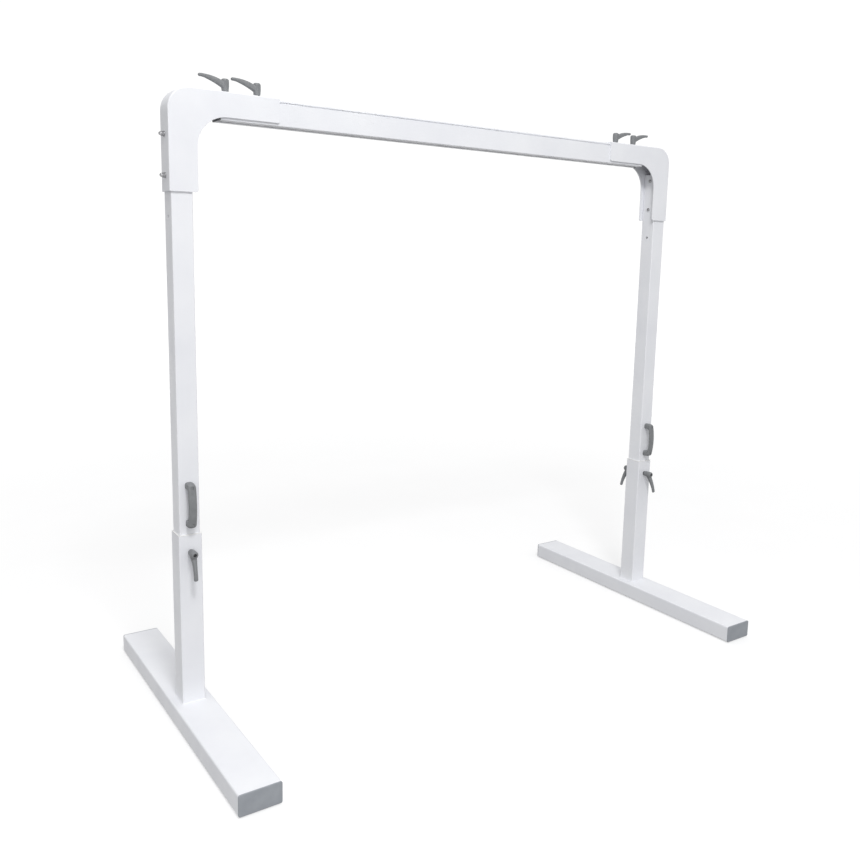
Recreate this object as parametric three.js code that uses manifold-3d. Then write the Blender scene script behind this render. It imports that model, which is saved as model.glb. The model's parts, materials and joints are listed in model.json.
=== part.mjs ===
import * as THREE from "three";
import { mergeVertices } from "three/addons/utils/BufferGeometryUtils.js";
import Module from "manifold-3d";

// A freestanding gantry for a patient lift: two floor beams carry socket posts, a mast slides in
// each post, and a bent corner housing on each mast holds one end of a crossbar with a trolley track.
// Millimetres, +Z up, X along the crossbar, -Y is the front. The origin is on the floor, midway
// between the posts.

// Driving dimensions
const postSpacing = 2080;
const frameHeight = 2010; // floor to the top of the corner housings
const gap = 0.3; // clearance between neighbouring pieces
const foot = { length: 1190, width: 130, height: 66, wall: 3, corner: 6 };
const pad = { width: 100, length: 60, corner: 6, thickness: 3, inset: 40 };
const footCap = { plate: 4, plug: 22 };
const socket = { side: 75, wall: 3, corner: 4, top: 640 };
const mast = { side: 66, wall: 3, corner: 3.5, bottom: 90, top: 1900 };
const bush = { flange: 2.5, length: 78 };
const footGuide = { plate: 5.5, skirt: 40 };
const housing = {
  wall: 5,
  bottom: 1706,
  armReach: 314, // post centre to the mouth of the arm
  armHeight: 76,
  lip: 49, // post centre to the free edges of the cheeks
  outerRadius: 65,
  innerRadius: 95,
  edge: 3, // rounding of the outside edges
};
const rail = {
  length: 1840, // over its end caps
  depth: mast.side,
  height: 80,
  wall: 3,
  lip: 4,
  corner: 4,
  slot: 20, // mouth of the trolley track, underneath
  nutSlot: 11, // mouth of the clamp groove, on top
  nutChamber: { width: 22, height: 8, side: 3 },
  seam: { depth: 3, height: 3.5, below: 6 }, // groove along both sides, this far below the top
};
const railCap = { plate: 4, plug: 12, clear: 3 }; // clear: buffer block above the track lip
const slotNutLength = 24;
const bolt = { radius: 4, spacing: 120, top: 1873, headRadius: 7, headHeight: 5, crown: 4.9 };
const domeNut = {
  flats: 13,
  hexHeight: 8,
  height: 17,
  washer: 8.5,
  washerHeight: 1.8,
  domeRadius: 6.1,
  domeBase: 10,
  thread: 12, // depth of the bolt in the nut
  roof: 4, // solid end of the dome
};
const handle = {
  pitch: 120,
  height: 146,
  depth: 40,
  bow: 7,
  grip: 11,
  width: 26,
  centre: 738, // height of its middle on the mast
  corner: 11, // from each end to where the grip begins
  leg: 20, // from a screw to the finger gap
  legCorner: 8,
  edge: 3,
};
const handleScrew = { radius: 3, headRadius: 5.2, headHeight: 6, seat: 14, reach: 12 };
const lever = { reach: 84, rise: 46, hubHeight: 43, hubRadius: 12, thread: 5 };
const leverOffsets = { outer: 151, inner: 254 }; // crossbar clamp screws from the post centre
const mastLeverDrop = 58; // socket rim to the axis of the mast clamp screws
const leverLean = { front_left: 0, front_right: 12, rear_left: 11, rear_right: -11 }; // degrees

// Sizes worked out from the driving dimensions
const postX = postSpacing / 2;
const footBottom = pad.thickness + gap;
const footTop = footBottom + foot.height;
const mastLeverHeight = socket.top - mastLeverDrop;
const innerTop = frameHeight - housing.wall; // underside of the housing's top wall
const railBottom = innerTop - gap - rail.height;
const railEnd = rail.length / 2 - railCap.plate;
const innerFace = mast.side / 2 + gap; // mast and crossbar sides, with their clearance
const housingOut = innerFace + housing.wall; // outside of the housing's outer wall and cheeks
const roundSides = 12; // facets of a turned piece
const holeSides = 8; // facets of a drilled hole
const cornerSides = 2; // facets of a quarter round on a tube

const wasm = await Module();
wasm.setup();

// --- shapes ---------------------------------------------------------------------------------------

function material(color, roughness, metalness) {
  return new THREE.MeshStandardMaterial({ color, roughness, metalness });
}

function roundedRectangle(width, height, radius) {
  const [x, y] = [width / 2, height / 2];
  const shape = new THREE.Shape();
  shape.absarc(x - radius, -y + radius, radius, -Math.PI / 2, 0);
  shape.absarc(x - radius, y - radius, radius, 0, Math.PI / 2);
  shape.absarc(-x + radius, y - radius, radius, Math.PI / 2, Math.PI);
  shape.absarc(-x + radius, -y + radius, radius, Math.PI, 1.5 * Math.PI);
  return shape;
}

function roundedSquare(side, radius) {
  return roundedRectangle(side, side, radius);
}

function tubeSection(width, depth, wall, corner) {
  const shape = roundedRectangle(width, depth, corner);
  const inside = Math.max(corner - wall, 0.5);
  shape.holes.push(roundedRectangle(width - 2 * wall, depth - 2 * wall, inside));
  return shape;
}

// The three extrusions read a shape's plane as (X, Y), (X, Z) or (Y, Z).
function extrudeZ(shape, from, to, options = {}) {
  const settings = { depth: to - from, bevelEnabled: false, curveSegments: cornerSides, ...options };
  return new THREE.ExtrudeGeometry(shape, settings).translate(0, 0, from);
}

function extrudeY(shape, from, to, options = {}) {
  return extrudeZ(shape, -to, -from, options).rotateX(Math.PI / 2);
}

function extrudeX(shape, from, to, options = {}) {
  return extrudeZ(shape, from, to, options).rotateY(Math.PI / 2).rotateX(Math.PI / 2);
}

// A bevel that rounds an extrusion's edges and leaves its outer size as drawn.
function rounding(size, steps) {
  return {
    bevelEnabled: true,
    bevelThickness: size,
    bevelSize: size,
    bevelOffset: -size,
    bevelSegments: steps,
  };
}

// A profile of [radius, height] pairs, turned about Z.
function turned(profile, sides = roundSides) {
  const points = profile.map(([radius, height]) => new THREE.Vector2(radius, height));
  return new THREE.LatheGeometry(points, sides).rotateX(Math.PI / 2);
}

// --- solids ---------------------------------------------------------------------------------------

function solid(geometry) {
  const bare = geometry.clone();
  bare.deleteAttribute("normal");
  bare.deleteAttribute("uv");
  const merged = mergeVertices(bare, 1e-4);
  const index = merged.index.array;
  const triangles = [];
  for (let i = 0; i < index.length; i += 3) {
    const [a, b, c] = [index[i], index[i + 1], index[i + 2]];
    if (a !== b && b !== c && c !== a) triangles.push(a, b, c);
  }
  return new wasm.Manifold(
    new wasm.Mesh({
      numProp: 3,
      vertProperties: new Float32Array(merged.attributes.position.array),
      triVerts: new Uint32Array(triangles),
    }),
  );
}

function geometryOf(made) {
  const data = made.getMesh();
  const geometry = new THREE.BufferGeometry();
  geometry.setAttribute("position", new THREE.BufferAttribute(data.vertProperties, 3));
  geometry.setIndex(new THREE.BufferAttribute(data.triVerts, 1));
  geometry.computeVertexNormals();
  return geometry;
}

// Cutters for drilled holes, along each axis. Their flats lie on the stated radius.
function cutter(radius, length) {
  const outside = radius / Math.cos(Math.PI / holeSides);
  return new THREE.CylinderGeometry(outside, outside, length, holeSides);
}

function holeX(radius, from, to, y, z) {
  const bar = cutter(radius, to - from).rotateZ(Math.PI / 2);
  return solid(bar.translate((from + to) / 2, y, z));
}

function holeY(radius, from, to, x, z) {
  return solid(cutter(radius, to - from).translate(x, (from + to) / 2, z));
}

function holeZ(radius, from, to, x, y) {
  const bar = cutter(radius, to - from).rotateX(Math.PI / 2);
  return solid(bar.translate(x, y, (from + to) / 2));
}

function block(low, high) {
  const size = high.map((value, i) => value - low[i]);
  const centre = high.map((value, i) => (value + low[i]) / 2);
  return solid(new THREE.BoxGeometry(...size).translate(...centre));
}

// --- floor beam and socket post -------------------------------------------------------------------

function footBeam() {
  const section = tubeSection(foot.width, foot.height, foot.wall, foot.corner);
  const half = foot.length / 2 - footCap.plate - gap;
  return extrudeY(section, -half, half).translate(0, 0, footBottom + foot.height / 2);
}

// A flat plate with a plug that fits inside the beam; the plug points to +Y.
function footEndCap() {
  const inset = 2 * (foot.wall + gap);
  const plate = roundedRectangle(foot.width, foot.height, foot.corner);
  const plug = roundedRectangle(foot.width - inset, foot.height - inset, foot.corner - foot.wall);
  return geometryOf(
    solid(extrudeY(plate, 0, footCap.plate)).add(
      solid(extrudeY(plug, footCap.plate / 2, footCap.plate + footCap.plug)),
    ),
  );
}

function footPad() {
  return extrudeZ(roundedRectangle(pad.width, pad.length, pad.corner), 0, pad.thickness);
}

function socketPost() {
  const section = tubeSection(socket.side, socket.side, socket.wall, socket.corner);
  const tube = solid(extrudeZ(section, footTop + gap, socket.top - bush.flange));
  const hole = holeY(lever.thread + gap, -socket.side, socket.side, 0, mastLeverHeight);
  return geometryOf(tube.subtract(hole));
}

// A thin plastic sleeve between socket and mast, with a flange on the socket's rim.
function guideBush() {
  const inner = roundedSquare(mast.side + 2 * gap, mast.corner);
  const sleeve = roundedSquare(socket.side - 2 * (socket.wall + gap), mast.corner);
  const flange = roundedSquare(socket.side, socket.corner);
  const rim = socket.top - bush.flange + gap;
  const body = solid(extrudeZ(sleeve, rim - bush.length, rim + bush.flange))
    .add(solid(extrudeZ(flange, rim, rim + bush.flange)))
    .subtract(solid(extrudeZ(inner, rim - 2 * bush.length, rim + 2 * bush.flange)));
  const hole = holeY(lever.thread + gap, -socket.side, socket.side, 0, mastLeverHeight);
  return geometryOf(body.subtract(hole));
}

// --- mast, its lower guide and its grab handle ----------------------------------------------------

function mastTube() {
  const section = tubeSection(mast.side, mast.side, mast.wall, mast.corner);
  let tube = solid(extrudeZ(section, mast.bottom, mast.top));
  for (const step of [0, 1, 2]) {
    const height = bolt.top - step * bolt.spacing;
    tube = tube.subtract(holeX(bolt.radius + 2 * gap, -mast.side, mast.side, 0, height));
  }
  for (const end of [-1, 1]) {
    const height = handle.centre + (end * handle.pitch) / 2;
    tube = tube.subtract(holeY(handleScrew.radius + 2 * gap, -mast.side, 0, 0, height));
  }
  return geometryOf(tube);
}

// A shallow cup round the mast's lower end that slides in the socket.
function mastFootGuide() {
  const outer = roundedSquare(socket.side - 2 * (socket.wall + gap), mast.corner);
  const inner = roundedSquare(mast.side + 2 * gap, mast.corner);
  const floor = mast.bottom - gap;
  const cup = solid(extrudeZ(outer, floor - footGuide.plate, floor + footGuide.skirt));
  return geometryOf(cup.subtract(solid(extrudeZ(inner, floor, floor + 2 * footGuide.skirt))));
}

// Side view of the handle in (Y, Z): two legs joined by a grip that bows outwards.
function handleOutline() {
  const end = handle.height / 2;
  const gripEnd = end - handle.corner;
  const gripDepth = handle.depth - handle.bow;
  const radius = (gripEnd ** 2 + handle.bow ** 2) / (2 * handle.bow);
  const centre = radius - handle.depth;
  const turn = Math.asin(gripEnd / radius);
  const inside = radius - handle.grip;
  const gapEnd = handle.pitch / 2 - handle.leg;
  const gapCorner = gapEnd + handle.legCorner;
  const insideTurn = Math.asin(gapEnd / inside);
  const insideDepth = inside * Math.cos(insideTurn) - centre;
  const shape = new THREE.Shape();
  shape.moveTo(-gap, -end);
  shape.lineTo(-gripDepth / 2, -end);
  shape.quadraticCurveTo(-gripDepth, -end, -gripDepth, -gripEnd);
  shape.absarc(centre, 0, radius, Math.PI + turn, Math.PI - turn, true);
  shape.quadraticCurveTo(-gripDepth, end, -gripDepth / 2, end);
  shape.lineTo(-gap, end);
  shape.lineTo(-gap, gapCorner);
  shape.lineTo(-insideDepth / 2, gapCorner);
  shape.quadraticCurveTo(-insideDepth, gapCorner, -insideDepth, gapEnd);
  shape.absarc(centre, 0, inside, Math.PI - insideTurn, Math.PI + insideTurn, false);
  shape.quadraticCurveTo(-insideDepth, -gapCorner, -insideDepth / 2, -gapCorner);
  shape.lineTo(-gap, -gapCorner);
  return shape;
}

// The origin is midway between the screws, on the mast's front face.
function grabHandle() {
  const half = handle.width / 2 - handle.edge;
  const options = { curveSegments: 5, ...rounding(handle.edge, 1) };
  let body = solid(extrudeX(handleOutline(), -half, half, options));
  for (const end of [-1, 1]) {
    const height = (end * handle.pitch) / 2;
    const counterbore = handleScrew.headRadius + gap;
    body = body
      .subtract(holeY(handleScrew.radius + gap, -handle.depth, gap, 0, height))
      .subtract(holeY(counterbore, -2 * handle.depth, -handleScrew.seat, 0, height));
  }
  return geometryOf(body);
}

// Turned about Z with its head upwards; the origin is where it enters the mast. The head has a round
// socket, half its height deep.
function capScrew() {
  const { radius, headRadius, headHeight, seat, reach } = handleScrew;
  const under = seat + gap;
  const top = under + headHeight;
  const socketFloor = top - headHeight / 2;
  return turned([
    [0, -reach],
    [radius, -reach],
    [radius, under],
    [headRadius, under],
    [headRadius, top],
    [headRadius / 2, top],
    [headRadius / 2, socketFloor],
    [0, socketFloor],
  ]);
}

// --- corner housing -------------------------------------------------------------------------------

// Side view in (X, Z), with X from the post centre towards the middle of the gantry.
function housingOutline() {
  const { bottom, armReach, armHeight, lip, outerRadius, innerRadius } = housing;
  const armBottom = frameHeight - armHeight;
  const shape = new THREE.Shape();
  shape.moveTo(lip, bottom);
  shape.absarc(lip + innerRadius, armBottom - innerRadius, innerRadius, Math.PI, Math.PI / 2, true);
  shape.lineTo(armReach, armBottom);
  shape.lineTo(armReach, frameHeight);
  const outerX = outerRadius - housingOut;
  shape.absarc(outerX, frameHeight - outerRadius, outerRadius, Math.PI / 2, Math.PI, false);
  shape.lineTo(-housingOut, bottom);
  return shape;
}

// Everything inside the outer wall and the top wall, open below and at the arm's mouth.
function housingCavity() {
  const radius = housing.outerRadius - housing.wall;
  const [beyond, below] = [2 * housing.armReach, housing.bottom - 2 * housing.wall];
  const shape = new THREE.Shape();
  shape.moveTo(-innerFace, below);
  shape.lineTo(beyond, below);
  shape.lineTo(beyond, innerTop);
  shape.absarc(radius - innerFace, innerTop - radius, radius, Math.PI / 2, Math.PI, false);
  return shape;
}

// The outer wall and the two cheeks stand close to the mast, and the cheeks to the crossbar.
function cornerHousing() {
  const half = housingOut - housing.edge;
  const curve = { curveSegments: 7 };
  const edges = { ...curve, ...rounding(housing.edge, 1) };
  const shell = solid(extrudeY(housingOutline(), -half, half, edges));
  const cavity = solid(extrudeY(housingCavity(), -innerFace, innerFace, curve));
  let body = shell.subtract(cavity);
  for (const step of [0, 1]) {
    const height = bolt.top - step * bolt.spacing;
    body = body.subtract(holeX(bolt.radius + 2 * gap, -2 * housingOut, 0, 0, height));
  }
  for (const offset of Object.values(leverOffsets)) {
    body = body.subtract(holeZ(lever.thread + gap, innerTop - 1, frameHeight + 1, offset, 0));
  }
  return geometryOf(body);
}

// The origin is where the bolt's head meets the mast's inner face; the shank points to -X.
function crossBolt() {
  const shank = mast.side + housing.wall + 2 * gap + domeNut.thread;
  const profile = [
    [0, -shank],
    [bolt.radius, -shank],
    [bolt.radius, gap],
    [bolt.headRadius, gap],
    [bolt.headRadius, bolt.headHeight / 2],
    [bolt.crown, bolt.headHeight],
    [0, bolt.headHeight],
  ];
  return turned(profile).rotateY(Math.PI / 2);
}

// A hexagon nut with a washer face and a domed end that points to -X from the housing.
function crossBoltNut() {
  const { flats, hexHeight, height, washer, washerHeight, domeRadius, domeBase, roof } = domeNut;
  const hexRadius = flats / Math.sqrt(3);
  const hexagon = new THREE.CylinderGeometry(hexRadius, hexRadius, hexHeight, 6);
  const profile = [
    [0, 0],
    [washer, 0],
    [washer, washerHeight],
    [domeRadius, washerHeight],
    [domeRadius, domeBase],
  ];
  const domeSteps = 3;
  for (let i = 1; i < domeSteps; i += 1) {
    const angle = (i / domeSteps) * (Math.PI / 2);
    const rise = (height - domeBase) * Math.sin(angle);
    profile.push([domeRadius * Math.cos(angle), domeBase + rise]);
  }
  profile.push([0, height]);
  const nut = solid(turned(profile))
    .add(solid(hexagon.rotateX(Math.PI / 2).translate(0, 0, washerHeight + hexHeight / 2)))
    .subtract(holeZ(bolt.radius + gap, -height, height - roof, 0, 0));
  return geometryOf(nut).rotateY(-Math.PI / 2);
}

// --- crossbar -------------------------------------------------------------------------------------

// Heights inside the rail, from its underside.
const grooveTop = rail.height - rail.wall;
const grooveFloor = grooveTop - rail.nutChamber.height;
const trackTop = grooveFloor - rail.wall;

// A wide track chamber opens through a slot below, and a narrow groove for the clamp nuts opens
// above, between two closed side chambers. A seam runs along each side near the top.
function railBar() {
  const end = railEnd - gap;
  const inner = rail.depth / 2 - rail.wall;
  const groove = rail.nutChamber.width / 2;
  const section = roundedRectangle(rail.depth, rail.height, rail.corner);
  const sideWall = groove + rail.nutChamber.side;
  const { seam } = rail;
  const seamTop = rail.height - seam.below;
  const chamber = inner - seam.depth;
  const channel = (left, right, low, high) =>
    block([-rail.length, left, low], [rail.length, right, high]);
  const bar = solid(extrudeX(section, -end, end).translate(0, 0, rail.height / 2))
    .subtract(channel(-inner, inner, rail.lip, trackTop))
    .subtract(channel(-rail.slot / 2, rail.slot / 2, -1, rail.lip + 1))
    .subtract(channel(-groove, groove, grooveFloor, grooveTop))
    .subtract(channel(-rail.nutSlot / 2, rail.nutSlot / 2, grooveTop - 1, rail.height + 1))
    .subtract(channel(sideWall, chamber, grooveFloor, grooveTop))
    .subtract(channel(-chamber, -sideWall, grooveFloor, grooveTop))
    .subtract(channel(rail.depth / 2 - seam.depth, rail.depth, seamTop - seam.height, seamTop))
    .subtract(channel(-rail.depth, seam.depth - rail.depth / 2, seamTop - seam.height, seamTop));
  return geometryOf(bar).translate(0, 0, railBottom);
}

// A plate over the rail's end with a buffer block that stops the trolley; made for the +X end.
function railEndCap() {
  const { wall, lip, height, depth, corner } = rail;
  const plate = extrudeX(roundedRectangle(depth, height, corner), railEnd, railEnd + railCap.plate);
  const side = depth / 2 - wall - gap;
  const buffer = block(
    [railEnd - railCap.plug, -side, lip + railCap.clear],
    [railEnd + 1, side, trackTop - gap],
  );
  const made = solid(plate.translate(0, 0, height / 2)).add(buffer);
  return geometryOf(made).translate(0, 0, railBottom);
}

// A tee-shaped nut in the rail's upper groove, under one clamp screw.
function slotNut() {
  const wide = rail.nutChamber.width / 2 - gap;
  const neck = rail.nutSlot / 2 - gap;
  const half = slotNutLength / 2;
  const made = block([-half, -wide, grooveFloor + gap], [half, wide, grooveTop - gap])
    .add(block([-half, -neck, grooveTop - 1], [half, neck, rail.height - gap]))
    .subtract(holeZ(lever.thread + gap, 0, 2 * rail.height, 0, 0));
  return geometryOf(made).translate(0, 0, railBottom);
}

// --- clamp lever ----------------------------------------------------------------------------------

// Levers are drawn with the screw axis along Z, the mounting face at Z = 0 and the arm along +X.
const collar = { radius: 9, height: 5 };
const spigot = { radius: 6.8, top: 19.5 }; // the stud's toothed boss, inside the handle
const bore = { ledgeLow: 20, ledgeHigh: 24, ledgeRadius: 4.2, springRadius: 6 };
const retainer = { shank: 3.5, radius: 5.4, bottom: 36, top: 41 };
const studChamfer = { width: 0.8, height: 1.2 };
const hub = { foot: 10.5, shoulderDrop: 6, crown: 7.5 };
const arm = {
  rootLow: [9, 10], // where the underside leaves the hub
  rootHigh: [8, 36], // where the top meets the hub
  neck: [58, 37], // the underside flattens from here to the tip
  climb: [28, 26], // bend of the underside between hub and neck
  run: [70, 41.2], // bend of the underside between neck and tip
  back: [26, 50.8], // bend of the top
  tipRadius: 4.8,
  tipHalfWidth: 6.8,
  neckHalfWidth: 6.4,
  rootHalfWidth: 11.5,
};

function leverStud(reach) {
  return turned([
    [0, -reach],
    [lever.thread - studChamfer.width, -reach],
    [lever.thread, studChamfer.height - reach],
    [lever.thread, gap],
    [collar.radius, gap],
    [collar.radius, collar.height],
    [spigot.radius, collar.height],
    [spigot.radius, spigot.top],
    [retainer.shank, spigot.top],
    [retainer.shank, retainer.bottom],
    [retainer.radius, retainer.bottom],
    [retainer.radius, retainer.top],
    [0, retainer.top],
  ]);
}

// Side view of the arm in (X, Z).
function armSideView() {
  const tipX = lever.reach - arm.tipRadius;
  const shape = new THREE.Shape();
  shape.moveTo(0, arm.rootLow[1]);
  shape.lineTo(...arm.rootLow);
  shape.quadraticCurveTo(...arm.climb, ...arm.neck);
  shape.quadraticCurveTo(...arm.run, tipX, lever.rise - arm.tipRadius);
  shape.absarc(tipX, lever.rise, arm.tipRadius, -Math.PI / 2, Math.PI / 2, false);
  shape.quadraticCurveTo(...arm.back, ...arm.rootHigh);
  shape.lineTo(0, arm.rootHigh[1]);
  return shape;
}

// Plan of the arm in (X, Y): it narrows from the hub to a neck and widens again to the round tip.
function armPlan() {
  const { rootHalfWidth: root, neckHalfWidth: waist, tipHalfWidth: tip } = arm;
  const tipX = lever.reach - tip;
  const neckX = arm.neck[0];
  const shape = new THREE.Shape();
  shape.moveTo(0, -root);
  shape.bezierCurveTo(neckX / 3, -root, neckX / 2, -waist, neckX, -waist);
  shape.bezierCurveTo((neckX + tipX) / 2, -waist, (neckX + tipX) / 2, -tip, tipX, -tip);
  shape.absarc(tipX, 0, tip, -Math.PI / 2, Math.PI / 2, false);
  shape.bezierCurveTo((neckX + tipX) / 2, tip, (neckX + tipX) / 2, waist, neckX, waist);
  shape.bezierCurveTo(neckX / 2, waist, neckX / 3, root, 0, root);
  return shape;
}

// The arm is where its side view and its plan overlap.
function leverArm() {
  const curve = { curveSegments: 3 };
  const sideView = solid(extrudeY(armSideView(), -lever.reach, lever.reach, curve));
  return sideView.intersect(solid(extrudeZ(armPlan(), 0, lever.reach, curve)));
}

// The hub is bored for the stud's boss from below and for the spring from above, with a ledge between.
function leverHandle() {
  const { hubRadius, hubHeight } = lever;
  const bottom = collar.height + gap;
  const body = turned([
    [0, bottom],
    [hub.foot, bottom],
    [hubRadius, hubHeight / 2],
    [hubRadius, hubHeight - hub.shoulderDrop],
    [hub.crown, hubHeight],
    [0, hubHeight],
  ]);
  const made = solid(body)
    .add(leverArm())
    .subtract(holeZ(spigot.radius + 2 * gap, 0, bore.ledgeLow, 0, 0))
    .subtract(holeZ(bore.ledgeRadius, 0, hubHeight, 0, 0))
    .subtract(holeZ(bore.springRadius, bore.ledgeHigh, 2 * hubHeight, 0, 0));
  return geometryOf(made);
}

// --- assembly -------------------------------------------------------------------------------------

const whiteCoat = material(0xe6e7ec, 0.42, 0.1);
const greyCap = material(0x8f97a3, 0.6, 0);
const darkPlastic = material(0x5d6064, 0.55, 0);
const blackRubber = material(0x24262a, 0.85, 0);
const whiteNylon = material(0xf0f0ee, 0.5, 0);
const darkSteel = material(0x35373a, 0.4, 0.9);
const brightSteel = material(0xb9bcc0, 0.3, 0.9);

const gantry = new THREE.Group();

function place(parent, name, geometry, look, position = [0, 0, 0], rotation = [0, 0, 0]) {
  const mesh = new THREE.Mesh(geometry, look);
  mesh.name = name;
  mesh.position.set(...position);
  mesh.rotation.set(...rotation);
  parent.add(mesh);
}

// A clamp lever: its handle and its stud, which share one place and one rotation.
function placeLever(parent, name, studReach, position, rotation) {
  place(parent, name, leverHandle(), darkPlastic, position, rotation);
  place(parent, `${name}_stud`, leverStud(studReach), darkSteel, position, rotation);
}

function placeBase(post, side) {
  place(post, `foot_beam_${side}`, footBeam(), whiteCoat);
  const height = footBottom + foot.height / 2;
  const padY = foot.length / 2 - pad.inset - pad.length / 2;
  for (const [end, sign] of [["front", -1], ["rear", 1]]) {
    const turn = sign < 0 ? 0 : Math.PI;
    const capAt = [0, (sign * foot.length) / 2, height];
    place(post, `foot_cap_${end}_${side}`, footEndCap(), greyCap, capAt, [0, 0, turn]);
    place(post, `foot_pad_${end}_${side}`, footPad(), blackRubber, [0, sign * padY, 0]);
    const lean = THREE.MathUtils.degToRad(leverLean[`${end}_${side}`]);
    const screwTip = (socket.side - mast.side) / 2 - gap;
    placeLever(
      post,
      `mast_lever_${end}_${side}`,
      screwTip,
      [0, (sign * socket.side) / 2, mastLeverHeight],
      [(-sign * Math.PI) / 2, 0, (sign * Math.PI) / 2 - sign * lean],
    );
  }
  place(post, `socket_post_${side}`, socketPost(), whiteCoat);
  place(post, `guide_bush_${side}`, guideBush(), whiteNylon);
}

function placeMast(post, side) {
  place(post, `mast_${side}`, mastTube(), whiteCoat);
  place(post, `mast_foot_guide_${side}`, mastFootGuide(), whiteNylon);
  const face = -mast.side / 2;
  place(post, `grab_handle_${side}`, grabHandle(), darkPlastic, [0, face, handle.centre]);
  for (const [end, sign] of [["upper", 1], ["lower", -1]]) {
    const height = handle.centre + (sign * handle.pitch) / 2;
    const turn = [Math.PI / 2, 0, 0];
    place(post, `handle_screw_${end}_${side}`, capScrew(), darkSteel, [0, face, height], turn);
  }
}

function placeCorner(corner, side) {
  place(corner, `corner_housing_${side}`, cornerHousing(), whiteCoat);
  for (const [end, step] of [["upper", 0], ["lower", 1]]) {
    const height = bolt.top - step * bolt.spacing;
    place(corner, `cross_bolt_${end}_${side}`, crossBolt(), brightSteel, [mast.side / 2, 0, height]);
    const nutAt = [-housingOut - gap, 0, height];
    place(corner, `dome_nut_${end}_${side}`, crossBoltNut(), brightSteel, nutAt);
  }
  const screwReach = frameHeight - (railBottom + grooveFloor) - 3 * gap; // down into the slot nut
  for (const [name, offset] of Object.entries(leverOffsets)) {
    place(corner, `slot_nut_${name}_${side}`, slotNut(), brightSteel, [offset, 0, 0]);
    const at = [offset, 0, frameHeight];
    placeLever(corner, `rail_lever_${name}_${side}`, screwReach, at, [0, 0, Math.PI]);
  }
}

for (const [side, sign] of [["left", -1], ["right", 1]]) {
  const post = new THREE.Group();
  post.position.x = sign * postX;
  gantry.add(post);
  placeBase(post, side);
  placeMast(post, side);
  const corner = new THREE.Group();
  corner.rotation.z = sign < 0 ? 0 : Math.PI;
  post.add(corner);
  placeCorner(corner, side);
  const turn = sign < 0 ? Math.PI : 0;
  place(gantry, `rail_end_cap_${side}`, railEndCap(), darkPlastic, [0, 0, 0], [0, 0, turn]);
}
place(gantry, "rail", railBar(), whiteCoat);

export default gantry;
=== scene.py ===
"""A freestanding gantry for a patient lift: its finished surfaces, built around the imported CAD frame.

Metres, +Z up, X along the crossbar, -Y is the front. Each piece is meshed here from the named sizes and
from the boxes of the CAD nodes, and rides on its CAD body. All but the welds stand for a CAD node. The
guide cups, handle screws and slot nuts inside the gantry keep their CAD shapes.
"""

import json
import math

import bmesh
import bpy
from mathutils import Matrix, Vector
from mathutils.geometry import tessellate_polygon

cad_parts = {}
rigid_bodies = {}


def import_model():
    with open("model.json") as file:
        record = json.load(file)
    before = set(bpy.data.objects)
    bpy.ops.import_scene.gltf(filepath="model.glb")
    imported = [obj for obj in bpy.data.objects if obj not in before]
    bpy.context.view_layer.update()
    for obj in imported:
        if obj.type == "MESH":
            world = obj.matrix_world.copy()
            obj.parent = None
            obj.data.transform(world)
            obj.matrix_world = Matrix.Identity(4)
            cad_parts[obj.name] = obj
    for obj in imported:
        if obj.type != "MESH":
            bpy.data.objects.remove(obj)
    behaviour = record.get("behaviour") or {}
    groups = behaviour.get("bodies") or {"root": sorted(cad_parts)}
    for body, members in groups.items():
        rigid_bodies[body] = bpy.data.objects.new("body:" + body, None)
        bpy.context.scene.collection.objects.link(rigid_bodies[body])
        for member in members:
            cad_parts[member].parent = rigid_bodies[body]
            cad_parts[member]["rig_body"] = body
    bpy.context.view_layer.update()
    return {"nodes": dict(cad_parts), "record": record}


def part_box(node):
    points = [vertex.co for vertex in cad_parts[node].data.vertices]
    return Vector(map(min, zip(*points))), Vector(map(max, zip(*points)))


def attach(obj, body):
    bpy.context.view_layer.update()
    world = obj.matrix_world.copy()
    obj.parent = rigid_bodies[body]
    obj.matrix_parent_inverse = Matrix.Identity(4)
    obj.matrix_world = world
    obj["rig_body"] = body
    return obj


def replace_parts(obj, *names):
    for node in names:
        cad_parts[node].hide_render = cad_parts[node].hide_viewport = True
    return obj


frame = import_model()

SIDES = {"left": -1, "right": 1}
ENDS = {"front": -1, "rear": 1}

# Sizes that the pieces share
GAP = 0.0003
CUT_EDGE = 0.0005  # rounding of a sawn tube end
FOOT_CORNER, FOOT_WALL = 0.006, 0.003
SOCKET_CORNER, SOCKET_WALL = 0.004, 0.003
MAST_CORNER, MAST_WALL = 0.0035, 0.003
BUSH_SLEEVE_WALL = 0.0009
STUD_HOLE = 0.0053
BOLT_HOLE = 0.0046
SCREW_HOLE = 0.0036  # for the grab handle's screws
SMOOTH_ANGLE = 35  # edges sharper than this many degrees stay crisp
MIDWAY = 0.3  # the middle point of a short rounding, in shares of its radius

BODY_OF = {name: node["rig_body"] for name, node in frame["nodes"].items()}
SLOT_OF = {part["node"]: part["material_slot"] for part in frame["record"]["subparts"]}


# --- outlines -------------------------------------------------------------------------------------


def arc(centre, radius, start, end, steps):
    """Points on an arc round a 2-D centre. The angles are in degrees."""
    points = []
    for i in range(steps + 1):
        angle = math.radians(start + (end - start) * i / steps)
        points.append((centre[0] + radius * math.cos(angle), centre[1] + radius * math.sin(angle)))
    return points


def rounded_rectangle(width, depth, radius, steps=6):
    """A centred rectangle with round corners, anticlockwise."""
    points = []
    for quarter, (x, y) in enumerate([(1, 1), (-1, 1), (-1, -1), (1, -1)]):
        centre = (x * (width / 2 - radius), y * (depth / 2 - radius))
        points += arc(centre, radius, 90 * quarter, 90 * quarter + 90, steps)
    return points


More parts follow.
